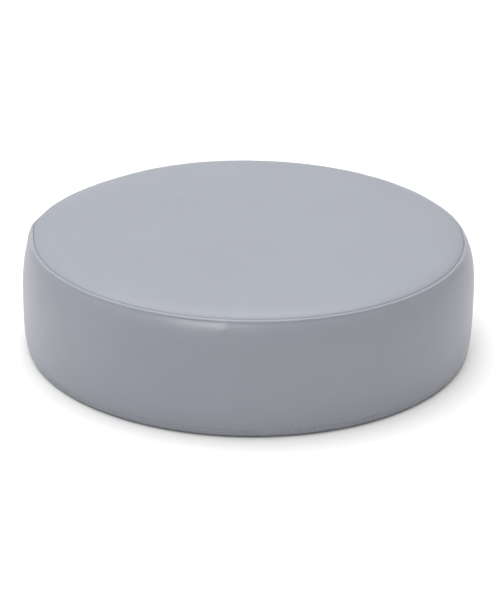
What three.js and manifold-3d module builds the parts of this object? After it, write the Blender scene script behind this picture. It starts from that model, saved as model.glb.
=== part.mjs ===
// A low round upholstered stool: a foam core on a plywood base, inside a sewn leatherette cover that
// closes with a zip round the back. Millimetres, +Z up, the origin on the floor under the middle.
// The front of the stool faces -Y. Angles run anticlockwise from +X, seen from above.
import * as THREE from "three";
import { mergeVertices } from "three/addons/utils/BufferGeometryUtils.js";
import Module from "manifold-3d";

const wasm = await Module();
wasm.setup();

// ---- Driving dimensions ----
const GAP = 0.3; // between pieces that touch on the real stool
const FACETS = 48; // round the large pieces
const ZIP_FACETS = 72;

const BODY_RADIUS = 200; // at the fullest part of the side
const SEAM_RADIUS = 188.4; // the top seam
const SEAM_HEIGHT = 100.4;
const CROWN_HEIGHT = 105; // the middle of the seat
const BELLY_HEIGHT = 40; // where the side is fullest
const SKIN = 1.2; // leatherette
const HEM_HEIGHT = 0.6; // the lowest edge of the side, just clear of the floor
const HEM_RADIUS = 193.5;
const HEM_INNER_RADIUS = 190.6;
const WELT_RADIUS = 1.5;

const FOOT_HEIGHT = 3.2;
const FOOT_RADIUS = 14;
const FOOT_CIRCLE = 150;
const FOOT_COUNT = 6;
const SCREW_RADIUS = 2;
const SCREW_TIP = 12.5;
const SCREW_HEAD_RADIUS = 4;
const SCREW_HEAD_HEIGHT = 1.2;
const SCREW_HEAD_SEAT = 1.7; // height of the shoulder that the head pulls against

const BASE_CLOTH_HEIGHT = FOOT_HEIGHT + GAP;
const BOARD_BOTTOM = BASE_CLOTH_HEIGHT + SKIN + GAP;
const BOARD_THICKNESS = 9;
const BOARD_RADIUS = 184;
const FOAM_RADIUS = 187;
const SUPPORT_FOAM_TOP = 66;
const COMFORT_FOAM_TOP = 96.4;
const FOAM_EDGE = 7; // the comfort foam's rounded top edge
const WADDING_INSET = 5; // from the outside of the cover to the outside of the wadding

const ZIP_START = 20; // degrees, where the placket meets the long side strip
const ZIP_END = 160;
const ZIP_HALF_OPENING = 5; // the placket strips' folded edges, from the zip's middle
const TAPE_RADIUS = 197.1;
const TAPE_THICKNESS = 0.6;
const TAPE_WIDTH = 15;
const COIL_RADIUS = 198;
const COIL_THICKNESS = 1.8;
const COIL_WIDTH = 2.6;
const COIL_PARTING = 0.4; // half of the slit between the two coils
const STOP_LENGTH = 3.2;
const SLIDER_LENGTH = 11;
const SLIDER_HALF_WIDTH = 4.2;
const SLIDER_PLATE = 1.1;
const SLIDER_REST = 25.8; // degrees: the zip is closed
const BAIL_HALF_WIDTH = 1.3;
const BAIL_HALF_OPENING = 2.1;
const BAIL_WALL = 1.1;
const PIVOT_HEIGHT = 1.35; // the pull's axis, above the slider's face
const PULL_THICKNESS = 1.1;
const PULL_LENGTH = 25;
const PULL_HALF_WIDTH = 3.2;
const PULL_ARM_INSIDE = 1.7;
const PULL_ARM_OUTSIDE = 2.9;
const PULL_BLADE_START = 4.6;

// ---- Materials ----
const material = (color, roughness, metalness = 0) =>
  new THREE.MeshStandardMaterial({ color, roughness, metalness });
const leatherette = material(0xa9aeb8, 0.45);
const baseCloth = material(0x4c4f55, 0.85);
const tapeCloth = material(0x878c96, 0.9);
const coilNylon = material(0x7d828c, 0.4);
const zipMetal = material(0xc9ccd0, 0.3, 1);
const softFoam = material(0xe9e4d2, 0.95);
const firmFoam = material(0xb9c4cf, 0.95);
const wadding = material(0xf4f4f1, 1);
const plywood = material(0xc9a877, 0.7);
const rubber = material(0x2b2c2e, 0.8);
const steel = material(0xb8bbbe, 0.35, 1);

// ---- Shape helpers ----
const radians = THREE.MathUtils.degToRad;

// A solid of revolution from [radius, height] points. The outline closes on itself, or starts and ends on the axis.
function turned(outline, facets = FACETS) {
  const points = outline.map(([radius, height]) => new THREE.Vector2(radius, height));
  if (THREE.ShapeUtils.isClockWise(points)) {
    points.reverse();
  }
  const onAxis = points.filter((point) => point.x === 0).length === 2;
  if (onAxis) {
    while (points[0].x !== 0 || points[points.length - 1].x !== 0) {
      points.push(points.shift());
    }
  } else {
    points.push(points[0].clone());
  }
  return new THREE.LatheGeometry(points, facets).rotateX(Math.PI / 2);
}

function solidOf(geometry) {
  const bare = geometry.index ? geometry.toNonIndexed() : geometry.clone();
  bare.deleteAttribute("normal");
  bare.deleteAttribute("uv");
  const merged = mergeVertices(bare, 1e-4);
  const corners = merged.index.array;
  const triangles = [];
  for (let i = 0; i < corners.length; i += 3) {
    const [a, b, c] = corners.slice(i, i + 3);
    if (a !== b && b !== c && c !== a) {
      triangles.push(a, b, c);
    }
  }
  return new wasm.Manifold(
    new wasm.Mesh({
      numProp: 3,
      vertProperties: merged.attributes.position.array,
      triVerts: new Uint32Array(triangles),
    }),
  );
}

function geometryOf(solid) {
  const mesh = solid.getMesh();
  const geometry = new THREE.BufferGeometry();
  geometry.setAttribute("position", new THREE.BufferAttribute(mesh.vertProperties, 3));
  geometry.setIndex(new THREE.BufferAttribute(mesh.triVerts, 1));
  const flat = geometry.toNonIndexed();
  flat.computeVertexNormals();
  return flat;
}

// The part of the space between two angles round the axis, in degrees, less a share of the gap at each side.
function sector(from, to) {
  const reach = 2 * BODY_RADIUS;
  const inset = THREE.MathUtils.radToDeg(GAP / 2 / BODY_RADIUS);
  const start = radians(from + inset);
  const turn = radians(to - inset) - start;
  const steps = Math.ceil(turn / radians(45));
  const outline = new THREE.Shape();
  outline.moveTo(0, 0);
  for (let i = 0; i <= steps; i++) {
    const angle = start + (turn * i) / steps;
    outline.lineTo(reach * Math.cos(angle), reach * Math.sin(angle));
  }
  const depth = 2 * CROWN_HEIGHT;
  return solidOf(new THREE.ExtrudeGeometry(outline, { depth, bevelEnabled: false }).translate(0, 0, -depth / 4));
}

function arcOf(outline, from, to, facets = FACETS) {
  return geometryOf(solidOf(turned(outline, facets)).intersect(sector(from, to)));
}

// A closed outline for a strip of cloth: the outer line, then the inner line back again.
const strip = (outer, inner) => [...outer, ...[...inner].reverse()];

// ---- The side's curve ----
// A flat-sided swell: it rises out of the hem in a small round, is fullest at the belly, and leans in to the top seam.
function sideRadius(height) {
  if (height >= BELLY_HEIGHT) {
    const up = (height - BELLY_HEIGHT) / (SEAM_HEIGHT - BELLY_HEIGHT);
    return SEAM_RADIUS + (BODY_RADIUS - SEAM_RADIUS) * Math.max(0, 1 - up ** 3.1) ** 0.6;
  }
  const down = (BELLY_HEIGHT - height) / (BELLY_HEIGHT - HEM_HEIGHT);
  return HEM_RADIUS + (BODY_RADIUS - HEM_RADIUS) * Math.max(0, 1 - down ** 3.1) ** 0.33;
}

// Points of the side between two heights, moved in from the surface.
function sideLine(heights, inset = 0) {
  return heights.map((height) => [sideRadius(height) - inset, height]);
}

const BAND_TOP = 98.6; // the side strip stops under the welt
const UPPER_HEIGHTS = [55, 66, 76, 84, 90.5, 95.5, BAND_TOP];
const LOWER_HEIGHTS = [HEM_HEIGHT, 1.8, 4.2, 9, 17, 26];
const BELLY_HEIGHTS = [BELLY_HEIGHT - ZIP_HALF_OPENING, BELLY_HEIGHT + ZIP_HALF_OPENING];

const hemOuter = [HEM_INNER_RADIUS, HEM_HEIGHT + 0.5];
const hemInner = [
  [HEM_INNER_RADIUS, HEM_HEIGHT + 0.5 + SKIN],
  [HEM_RADIUS, HEM_HEIGHT + SKIN],
];
const lowerOuter = [hemOuter, ...sideLine(LOWER_HEIGHTS)];
const lowerInner = [...hemInner, ...sideLine([4.2, 17], SKIN)];
const upperOuter = sideLine(UPPER_HEIGHTS);
const upperInner = sideLine([66, 84, 93, BAND_TOP - 0.4], SKIN);

// ---- Cover ----
const topPanelOutline = () => {
  const upper = [
    [0, CROWN_HEIGHT],
    [120, CROWN_HEIGHT],
    [155, CROWN_HEIGHT - 0.5],
    [172, CROWN_HEIGHT - 1.2],
    [181, CROWN_HEIGHT - 2.1],
    [185.4, CROWN_HEIGHT - 3.2],
    [SEAM_RADIUS - 0.9, CROWN_HEIGHT - 4.8],
  ];
  const lower = [
    [SEAM_RADIUS - 1.7, SEAM_HEIGHT - 1],
    [184.2, CROWN_HEIGHT - 4.4],
    [172, CROWN_HEIGHT - 1.2 - SKIN],
    [120, CROWN_HEIGHT - SKIN],
    [0, CROWN_HEIGHT - SKIN],
  ];
  return [...upper, ...lower];
};

// The welt: a thin cord in a folded strip, which stands proud between the seat and the side.
const weltOutline = () => {
  const outline = [];
  for (let side = 0; side < 8; side++) {
    const angle = radians(22.5 + 45 * side);
    const radius = SEAM_RADIUS + 1.3 + WELT_RADIUS * Math.cos(angle);
    outline.push([radius, SEAM_HEIGHT + 0.2 + WELT_RADIUS * Math.sin(angle)]);
  }
  return outline;
};

const sideStripOutline = () =>
  strip([...lowerOuter, ...sideLine(BELLY_HEIGHTS), ...upperOuter], [...lowerInner, ...upperInner]);

// The two placket strips, with the zip between their folded edges.
const placketUpperOutline = () => {
  const edge = BELLY_HEIGHT + ZIP_HALF_OPENING;
  return strip([...sideLine([edge]), ...upperOuter], [...sideLine([edge], SKIN), ...upperInner]);
};
const placketLowerOutline = () => {
  const edge = BELLY_HEIGHT - ZIP_HALF_OPENING;
  return strip([...lowerOuter, ...sideLine([edge])], [...lowerInner, ...sideLine([edge], SKIN)]);
};

// The base cloth dips from its flat middle to meet the hem, and has a hole for each foot's screw.
const basePanel = () => {
  const flatRadius = 182;
  const rim = HEM_INNER_RADIUS - GAP;
  const rimHeight = HEM_HEIGHT + 0.6;
  const cloth = turned([
    [0, BASE_CLOTH_HEIGHT],
    [flatRadius, BASE_CLOTH_HEIGHT],
    [rim, rimHeight],
    [rim, rimHeight + SKIN],
    [flatRadius + 1, BASE_CLOTH_HEIGHT + SKIN],
    [0, BASE_CLOTH_HEIGHT + SKIN],
  ]);
  return geometryOf(footPlaces().reduce((panel, place) => panel.subtract(screwHole(place)), solidOf(cloth)));
};

// ---- Feet and their screws ----
function footPlaces() {
  return Array.from({ length: FOOT_COUNT }, (_, i) => {
    const angle = radians(30 + (360 / FOOT_COUNT) * i);
    return [FOOT_CIRCLE * Math.cos(angle), FOOT_CIRCLE * Math.sin(angle)];
  });
}

function screwHole([x, y]) {
  const length = 4 * BOARD_THICKNESS;
  const drill = new THREE.CylinderGeometry(SCREW_RADIUS + GAP, SCREW_RADIUS + GAP, length, 12);
  return solidOf(drill.rotateX(Math.PI / 2).translate(x, y, 0));
}

const footGeometry = () => {
  const bore = SCREW_RADIUS + GAP;
  const recess = SCREW_HEAD_RADIUS + 0.6;
  return turned(
    [
      [recess, 0],
      [FOOT_RADIUS - 2, 0],
      [FOOT_RADIUS - 0.6, 0.8],
      [FOOT_RADIUS, FOOT_HEIGHT],
      [bore, FOOT_HEIGHT],
      [bore, SCREW_HEAD_SEAT],
      [recess, SCREW_HEAD_SEAT],
    ],
    24,
  );
};

const screwGeometry = () => {
  const seat = SCREW_HEAD_SEAT - 0.2;
  return turned(
    [
      [0, seat - SCREW_HEAD_HEIGHT],
      [SCREW_HEAD_RADIUS - 0.9, seat - SCREW_HEAD_HEIGHT],
      [SCREW_HEAD_RADIUS, seat - 0.4],
      [SCREW_HEAD_RADIUS, seat],
      [SCREW_RADIUS, seat],
      [SCREW_RADIUS, SCREW_TIP - 2],
      [0, SCREW_TIP],
    ],
    12,
  );
};

// ---- Core ----
const boardGeometry = () => {
  const top = BOARD_BOTTOM + BOARD_THICKNESS;
  const disc = turned([
    [0, BOARD_BOTTOM],
    [BOARD_RADIUS - 1, BOARD_BOTTOM],
    [BOARD_RADIUS, BOARD_BOTTOM + 1],
    [BOARD_RADIUS, top - 1],
    [BOARD_RADIUS - 1, top],
    [0, top],
  ]);
  return geometryOf(footPlaces().reduce((board, place) => board.subtract(screwHole(place)), solidOf(disc)));
};

const supportFoamOutline = () => {
  const bottom = BOARD_BOTTOM + BOARD_THICKNESS + GAP;
  return [
    [0, bottom],
    [FOAM_RADIUS, bottom],
    [FOAM_RADIUS, SUPPORT_FOAM_TOP],
    [0, SUPPORT_FOAM_TOP],
  ];
};

const comfortFoamOutline = () => [
  [0, SUPPORT_FOAM_TOP + GAP],
  [FOAM_RADIUS, SUPPORT_FOAM_TOP + GAP],
  [FOAM_RADIUS, COMFORT_FOAM_TOP - FOAM_EDGE],
  [FOAM_RADIUS - FOAM_EDGE * 0.3, COMFORT_FOAM_TOP - FOAM_EDGE * 0.3],
  [FOAM_RADIUS - FOAM_EDGE, COMFORT_FOAM_TOP],
  [0, COMFORT_FOAM_TOP],
];

const topWaddingOutline = () => [
  [0, COMFORT_FOAM_TOP + GAP],
  [FOAM_RADIUS - FOAM_EDGE, COMFORT_FOAM_TOP + GAP],
  [182, CROWN_HEIGHT - 4.6],
  [172, CROWN_HEIGHT - 1.6 - SKIN],
  [120, CROWN_HEIGHT - 0.4 - SKIN],
  [0, CROWN_HEIGHT - 0.4 - SKIN],
];

const sideWaddingOutline = () => {
  const inner = FOAM_RADIUS + GAP;
  const outer = sideLine([7, 16, 40, 66, 80, 90], WADDING_INSET);
  return [[inner, 6.5], ...outer, [inner, 91]];
};

// ---- Zip ----
const tapeOutline = (side) => {
  const near = BELLY_HEIGHT + side * COIL_PARTING;
  const far = BELLY_HEIGHT + side * TAPE_WIDTH;
  const front = TAPE_RADIUS + TAPE_THICKNESS;
  return [
    [TAPE_RADIUS, near],
    [front, near],
    [front, far],
    [TAPE_RADIUS, far],
  ];
};

const coilOutline = (side) => {
  const near = BELLY_HEIGHT + side * COIL_PARTING;
  const far = near + side * COIL_WIDTH;
  const front = COIL_RADIUS + COIL_THICKNESS;
  return [
    [COIL_RADIUS, near],
    [front - 0.5, near],
    [front, near + side * 0.6],
    [front, far - side * 0.6],
    [front - 0.5, far],
    [COIL_RADIUS, far],
  ];
};

// A block in the zip's own frame at one angle: radius outwards, then along the zip, then up.
function block(radius, along, height) {
  const size = [radius, along, height].map(([low, high]) => high - low);
  const middle = [radius, along, height].map(([low, high]) => (low + high) / 2);
  return solidOf(new THREE.BoxGeometry(...size).translate(...middle));
}

const STOP_BODY = [COIL_RADIUS - 0.1, COIL_RADIUS + COIL_THICKNESS + 0.4];

// The crimped stop beside one coil, past the slider's closed end.
const topStop = (side) => {
  const reach = [COIL_PARTING, COIL_PARTING + COIL_WIDTH].map((height) => BELLY_HEIGHT + side * height);
  reach.sort((a, b) => a - b);
  return geometryOf(block(STOP_BODY, [-STOP_LENGTH / 2, STOP_LENGTH / 2], reach));
};

// The clasp that joins the two coils at the open end.
const endStop = () => {
  const half = COIL_PARTING + COIL_WIDTH + 0.4;
  const reach = [BELLY_HEIGHT - half, BELLY_HEIGHT + half];
  return geometryOf(block(STOP_BODY, [-STOP_LENGTH / 2, STOP_LENGTH / 2], reach));
};

// The slider's plates, seen square on: a shoulder at the front and a narrower tail.
function sliderPlate(radius, thickness, halfWidth) {
  const half = SLIDER_LENGTH / 2;
  const tail = halfWidth * 0.8;
  const outline = new THREE.Shape();
  outline.moveTo(-half, -halfWidth + 1.5);
  outline.lineTo(-half + 1.5, -halfWidth);
  outline.lineTo(0, -halfWidth);
  outline.lineTo(half - 1, -tail);
  outline.lineTo(half, -tail + 1);
  outline.lineTo(half, tail - 1);
  outline.lineTo(half - 1, tail);
  outline.lineTo(0, halfWidth);
  outline.lineTo(-half + 1.5, halfWidth);
  outline.lineTo(-half, halfWidth - 1.5);
  const plate = new THREE.ExtrudeGeometry(outline, { depth: thickness, bevelEnabled: false });
  const along = new THREE.Vector3(0, 1, 0);
  const up = new THREE.Vector3(0, 0, 1);
  const outwards = new THREE.Vector3(1, 0, 0);
  plate.applyMatrix4(new THREE.Matrix4().makeBasis(along, up, outwards));
  return solidOf(plate.translate(radius, 0, BELLY_HEIGHT));
}

const SLIDER_FRONT = COIL_RADIUS + COIL_THICKNESS + 0.6; // the front plate's inner face
const SLIDER_FACE = SLIDER_FRONT + SLIDER_PLATE;
const PIVOT_RADIUS = SLIDER_FACE + PIVOT_HEIGHT;

// Front plate with side flanges, a neck between the coils, a back plate, and the bail that holds the pull.
const sliderGeometry = () => {
  const half = SLIDER_LENGTH / 2;
  const back = TAPE_RADIUS - 0.4 - SLIDER_PLATE;
  const flange = [SLIDER_HALF_WIDTH - 0.8, SLIDER_HALF_WIDTH];
  const around = (low, high) => [BELLY_HEIGHT + low, BELLY_HEIGHT + high];
  const bailTop = PIVOT_HEIGHT * 2 + SLIDER_FACE;
  const bailEnd = BAIL_HALF_OPENING + BAIL_WALL;
  const bailWidth = around(-BAIL_HALF_WIDTH, BAIL_HALF_WIDTH);
  const parts = [
    sliderPlate(back, SLIDER_PLATE, SLIDER_HALF_WIDTH - 0.4),
    block([back + 0.1, SLIDER_FRONT + 0.1], [2 - half, 1.5], around(-0.15, 0.15)),
    block([TAPE_RADIUS + 1.2, SLIDER_FRONT + 0.1], [1.6 - half, 0], around(...flange)),
    block([TAPE_RADIUS + 1.2, SLIDER_FRONT + 0.1], [1.6 - half, 0], around(-flange[1], -flange[0])),
    block([SLIDER_FACE - 0.1, bailTop], [-bailEnd, -BAIL_HALF_OPENING], bailWidth),
    block([SLIDER_FACE - 0.1, bailTop], [BAIL_HALF_OPENING, bailEnd], bailWidth),
    block([bailTop - 0.1, bailTop + BAIL_WALL], [-bailEnd, bailEnd], bailWidth),
  ];
  const front = sliderPlate(SLIDER_FRONT, SLIDER_PLATE, SLIDER_HALF_WIDTH);
  return geometryOf(parts.reduce((whole, part) => whole.add(part), front));
};

// The pull turns on a cross bar under the bail. Its blade lies along the zip.
const pullGeometry = () => {
  const half = PULL_THICKNESS / 2;
  const through = [PIVOT_RADIUS - half, PIVOT_RADIUS + half];
  const around = (low, high) => [BELLY_HEIGHT + low, BELLY_HEIGHT + high];
  const grip = new THREE.CylinderGeometry(PULL_HALF_WIDTH, PULL_HALF_WIDTH, PULL_THICKNESS, 20);
  grip.rotateZ(Math.PI / 2).translate(PIVOT_RADIUS, PULL_LENGTH - PULL_HALF_WIDTH, BELLY_HEIGHT);
  const eye = new THREE.CylinderGeometry(1.2, 1.2, 2 * PULL_THICKNESS, 12);
  eye.rotateZ(Math.PI / 2).translate(PIVOT_RADIUS, PULL_LENGTH - PULL_HALF_WIDTH, BELLY_HEIGHT);
  const blade = [PULL_BLADE_START, PULL_LENGTH - PULL_HALF_WIDTH];
  const crossBar = block(through, [-half, half], around(-PULL_ARM_OUTSIDE, PULL_ARM_OUTSIDE));
  return geometryOf(
    crossBar
      .add(block(through, [0, PULL_BLADE_START + 0.1], around(PULL_ARM_INSIDE, PULL_ARM_OUTSIDE)))
      .add(block(through, [0, PULL_BLADE_START + 0.1], around(-PULL_ARM_OUTSIDE, -PULL_ARM_INSIDE)))
      .add(block(through, blade, around(-PULL_HALF_WIDTH, PULL_HALF_WIDTH)))
      .add(solidOf(grip))
      .subtract(solidOf(eye)),
  );
};

// ---- Assembly ----
const stool = new THREE.Group();

function piece(name, geometry, finish, parent = stool) {
  const mesh = new THREE.Mesh(geometry, finish);
  mesh.name = name;
  parent.add(mesh);
  return mesh;
}

function atAngle(degrees) {
  const holder = new THREE.Group();
  holder.rotation.z = radians(degrees);
  stool.add(holder);
  return holder;
}

function addCover() {
  piece("top_panel", turned(topPanelOutline()), leatherette);
  piece("top_welt", turned(weltOutline()), leatherette);
  piece("side_strip", arcOf(sideStripOutline(), ZIP_END, ZIP_START + 360), leatherette);
  piece("placket_upper", arcOf(placketUpperOutline(), ZIP_START, ZIP_END), leatherette);
  piece("placket_lower", arcOf(placketLowerOutline(), ZIP_START, ZIP_END), leatherette);
  piece("base_panel", basePanel(), baseCloth);
}

function addCore() {
  piece("base_board", boardGeometry(), plywood);
  piece("support_foam", turned(supportFoamOutline()), firmFoam);
  piece("comfort_foam", turned(comfortFoamOutline()), softFoam);
  piece("top_wadding", turned(topWaddingOutline()), wadding);
  piece("side_wadding", turned(sideWaddingOutline()), wadding);
}

function addFeet() {
  footPlaces().forEach(([x, y], i) => {
    piece(`foot_${i + 1}`, footGeometry(), rubber).position.set(x, y, 0);
    piece(`foot_screw_${i + 1}`, screwGeometry(), steel).position.set(x, y, 0);
  });
}

function addZip() {
  const tapeEnds = [ZIP_START + 1, ZIP_END - 1];
  piece("zip_tape_upper", arcOf(tapeOutline(1), ...tapeEnds, ZIP_FACETS), tapeCloth);
  piece("zip_tape_lower", arcOf(tapeOutline(-1), ...tapeEnds, ZIP_FACETS), tapeCloth);
  const coilEnds = [ZIP_START + 3.6, ZIP_END - 3.6];
  piece("zip_coil_upper", arcOf(coilOutline(1), ...coilEnds, ZIP_FACETS), coilNylon);
  piece("zip_coil_lower", arcOf(coilOutline(-1), ...coilEnds, ZIP_FACETS), coilNylon);
  const closedEnd = atAngle(ZIP_START + 3);
  piece("zip_top_stop_upper", topStop(1), zipMetal, closedEnd);
  piece("zip_top_stop_lower", topStop(-1), zipMetal, closedEnd);
  piece("zip_end_stop", endStop(), zipMetal, atAngle(ZIP_END - 3));
  const slider = atAngle(SLIDER_REST);
  piece("zip_slider", sliderGeometry(), zipMetal, slider);
  piece("zip_pull", pullGeometry(), zipMetal, slider);
}

addCover();
addCore();
addFeet();
addZip();

export default stool;
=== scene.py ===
import math

import bmesh
import bpy
from mathutils import Euler, Matrix, Vector, kdtree, noise


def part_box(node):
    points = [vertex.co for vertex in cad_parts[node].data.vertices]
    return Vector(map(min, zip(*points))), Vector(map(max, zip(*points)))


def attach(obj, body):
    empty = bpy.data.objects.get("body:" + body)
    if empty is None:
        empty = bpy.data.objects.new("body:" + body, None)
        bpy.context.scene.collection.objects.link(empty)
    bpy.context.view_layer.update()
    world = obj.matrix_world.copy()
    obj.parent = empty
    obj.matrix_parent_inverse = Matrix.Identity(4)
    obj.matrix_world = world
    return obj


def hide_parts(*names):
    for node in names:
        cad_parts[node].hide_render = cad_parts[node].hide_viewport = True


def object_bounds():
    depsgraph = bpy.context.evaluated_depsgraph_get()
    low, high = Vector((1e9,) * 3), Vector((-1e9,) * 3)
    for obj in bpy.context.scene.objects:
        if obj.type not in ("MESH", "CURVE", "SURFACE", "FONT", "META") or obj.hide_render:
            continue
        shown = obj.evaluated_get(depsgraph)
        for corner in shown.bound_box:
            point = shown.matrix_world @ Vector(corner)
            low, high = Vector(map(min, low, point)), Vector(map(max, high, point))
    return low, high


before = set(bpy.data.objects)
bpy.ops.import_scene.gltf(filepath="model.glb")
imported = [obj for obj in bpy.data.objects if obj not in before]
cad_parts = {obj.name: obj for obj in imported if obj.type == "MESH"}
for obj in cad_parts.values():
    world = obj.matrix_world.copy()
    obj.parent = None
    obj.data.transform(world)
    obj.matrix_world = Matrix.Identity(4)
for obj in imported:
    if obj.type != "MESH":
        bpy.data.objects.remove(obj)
cadLow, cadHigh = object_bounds()
print("frame loaded")

bodyName = "stool_body"
bodyRadius = (cadHigh.x - cadLow.x) / 2  # the fullest part of the side
seatHeight = cadHigh.z
zipHeight = (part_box("zip_slider")[0].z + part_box("zip_slider")[1].z) / 2
zipStart, zipEnd = math.radians(20), math.radians(160)  # where the placket meets the side strip
fullTurn = 2 * math.pi


cameraValues = {
    "distance": 8 * bodyRadius,
    "elevation": math.radians(23.2),
    "roll": math.radians(0.75),
    "lens": 107.5,
    "aimHeight": bodyRadius / 4,
    "turnLeft": math.radians(-0.096),  # the stool stands a little left of the middle
    "tiltDown": math.radians(-0.502),  # and a little above it
}


def addCamera():
    v = cameraValues
    data = bpy.data.cameras.new("camera")
    data.lens = v["lens"]
    camera = bpy.data.objects.new("camera", data)
    bpy.context.scene.collection.objects.link(camera)
    bpy.context.scene.camera = camera
    aim = Vector((0, 0, v["aimHeight"]))
    back = Vector((0, -math.cos(v["elevation"]), math.sin(v["elevation"])))
    camera.location = aim + back * v["distance"]
    facing = (-back).to_track_quat("-Z", "Y").to_matrix()
    nudge = Euler((v["tiltDown"], v["turnLeft"], v["roll"])).to_matrix()
    camera.rotation_euler = (facing @ nudge).to_euler()


addCamera()
print("camera placed")


def newMaterial(name, roughness=0.5, metallic=0.0):
    material = bpy.data.materials.new(name)
    material.use_nodes = True
    shader = material.node_tree.nodes["Principled BSDF"]
    shader.inputs["Roughness"].default_value = roughness
    shader.inputs["Metallic"].default_value = metallic
    return material, material.node_tree, shader


def addNode(tree, kind, settings=(), **links):
    # links: input name (underscores for spaces, or n6 for input number 6) to a value or to an output
    node = tree.nodes.new(kind)
    for key, value in dict(settings).items():
        setattr(node, key, value)
    for key, value in links.items():
        numbered = key[0] == "n" and key[1:].isdigit()
        socket = node.inputs[int(key[1:])] if numbered else node.inputs[key.replace("_", " ")]
        if isinstance(value, bpy.types.NodeSocket):
            tree.links.new(value, socket)
        else:
            socket.default_value = value
    return node


def objectPoint(tree, scale=(1, 1, 1), turn=(0, 0, 0)):
    place = addNode(tree, "ShaderNodeTexCoord")
    mapped = addNode(tree, "ShaderNodeMapping", Vector=place.outputs["Object"], Scale=scale, Rotation=turn)
    return mapped.outputs["Vector"]


def ramp(tree, factor, stops):
    node = addNode(tree, "ShaderNodeValToRGB", Fac=factor)
    elements = node.color_ramp.elements
    while len(elements) < len(stops):
        elements.new(0.5)
    for element, (position, colour) in zip(elements, stops):
        element.position = position
        element.color = (*colour, 1)
    return node.outputs["Color"]


def spread(tree, value, low, high):
    return addNode(tree, "ShaderNodeMapRange", Value=value, To_Min=low, To_Max=high).outputs["Result"]


def total(tree, a, b, kind="ADD"):
    return addNode(tree, "ShaderNodeMath", {"operation": kind}, n0=a, n1=b).outputs["Value"]


def multiplied(tree, a, b):
    # two colours, one laid over the other like a stain
    settings = {"data_type": "RGBA", "blend_type": "MULTIPLY"}
    return addNode(tree, "ShaderNodeMix", settings, n0=1.0, n6=a, n7=b).outputs[2]


def addBump(tree, shader, height, distance):
    bump = addNode(tree, "ShaderNodeBump", Height=height, Distance=distance, Strength=1.0)
    tree.links.new(bump.outputs["Normal"], shader.inputs["Normal"])


def shade(colour, factor):
    return tuple(channel * factor for channel in colour)


leatheretteValues = {
    "colour": (0.281, 0.298, 0.337),
    "unevenness": 0.02,  # share of the tone, over patches of a few centimetres
    "grainSize": 0.0011,
    "grainDepth": 0.000045,
    "roughness": (0.34, 0.41),
    "gloss": 0.3,
    "sheen": 0.01,
}


def makeLeatherette(name="blueGreyLeatherette", tone=1.0):
    v = leatheretteValues
    material, tree, shader = newMaterial(name)
    point = objectPoint(tree)
    patches = addNode(tree, "ShaderNodeTexNoise", Vector=point, Scale=11, Detail=4, Roughness=0.55)
    # a tone above 1 gives a lighter copy of the same leatherette, which is painted light
    colour = shade(v["colour"], tone)
    base = ramp(
        tree,
        patches.outputs["Fac"],
        [(0.3, shade(colour, 1 - v["unevenness"])), (0.7, shade(colour, 1 + v["unevenness"]))],
    )
    smooth = {"feature": "SMOOTH_F1"}
    cells = addNode(tree, "ShaderNodeTexVoronoi", smooth, Vector=point, Scale=1 / v["grainSize"])
    cells.inputs["Smoothness"].default_value = 0.6
    pores = addNode(tree, "ShaderNodeTexNoise", Vector=point, Scale=2600, Detail=2)
    valleys = ramp(tree, cells.outputs["Distance"], [(0.35, (1, 1, 1)), (0.8, (0.965, 0.965, 0.97))])
    tree.links.new(multiplied(tree, base, valleys), shader.inputs["Base Color"])
    polish = addNode(tree, "ShaderNodeTexNoise", Vector=point, Scale=55, Detail=3)
    tree.links.new(spread(tree, polish.outputs["Fac"], *v["roughness"]), shader.inputs["Roughness"])
    grain = total(tree, cells.outputs["Distance"], -1.0, "MULTIPLY")
    fine = total(tree, pores.outputs["Fac"], 0.35, "MULTIPLY")
    addBump(tree, shader, total(tree, grain, fine), v["grainDepth"])
    shader.inputs["Specular IOR Level"].default_value = v["gloss"]
    shader.inputs["Sheen Weight"].default_value = v["sheen"]
    shader.inputs["Sheen Roughness"].default_value = 0.4
    return material


threadValues = {"colour": (0.43, 0.45, 0.49), "twist": 0.0009, "depth": 0.00006}


def makeThread():
    v = threadValues
    material, tree, shader = newMaterial("sewingThread", 0.7)
    point = objectPoint(tree, turn=(0.6, 0.3, 0.5))
    plies = addNode(tree, "ShaderNodeTexWave", Vector=point, Scale=0.31 / v["twist"], Distortion=1.5)
    fuzz = addNode(tree, "ShaderNodeTexNoise", Vector=point, Scale=3000, Detail=2)
    colour = ramp(tree, plies.outputs["Fac"], [(0.1, shade(v["colour"], 0.8)), (0.8, v["colour"])])
    tree.links.new(colour, shader.inputs["Base Color"])
    addBump(tree, shader, total(tree, plies.outputs["Fac"], fuzz.outputs["Fac"]), v["depth"])
    shader.inputs["Sheen Weight"].default_value = 0.3
    return material


baseClothValues = {"colour": (0.075, 0.080, 0.090), "dotSpacing": 0.0022}


def makeBaseCloth():
    v = baseClothValues
    material, tree, shader = newMaterial("spunBaseCloth", 0.9)
    point = objectPoint(tree, turn=(0, 0, 0.785))
    fibres = addNode(tree, "ShaderNodeTexNoise", Vector=point, Scale=900, Detail=5, Distortion=2.5)
    dots = addNode(tree, "ShaderNodeTexVoronoi", {"voronoi_dimensions": "2D"}, Vector=point, Randomness=0.0)
    dots.inputs["Scale"].default_value = 1 / v["dotSpacing"]
    distance = dots.outputs["Distance"]
    pressed = addNode(tree, "ShaderNodeMapRange", Value=distance, From_Min=0.2, From_Max=0.34)
    stops = [(0.3, shade(v["colour"], 0.7)), (0.7, shade(v["colour"], 1.35))]
    colour = ramp(tree, fibres.outputs["Fac"], stops)
    tree.links.new(colour, shader.inputs["Base Color"])
    height = total(tree, pressed.outputs["Result"], total(tree, fibres.outputs["Fac"], 0.8, "MULTIPLY"))
    addBump(tree, shader, height, 0.00025)
    shader.inputs["Sheen Weight"].default_value = 0.2
    return material


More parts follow.
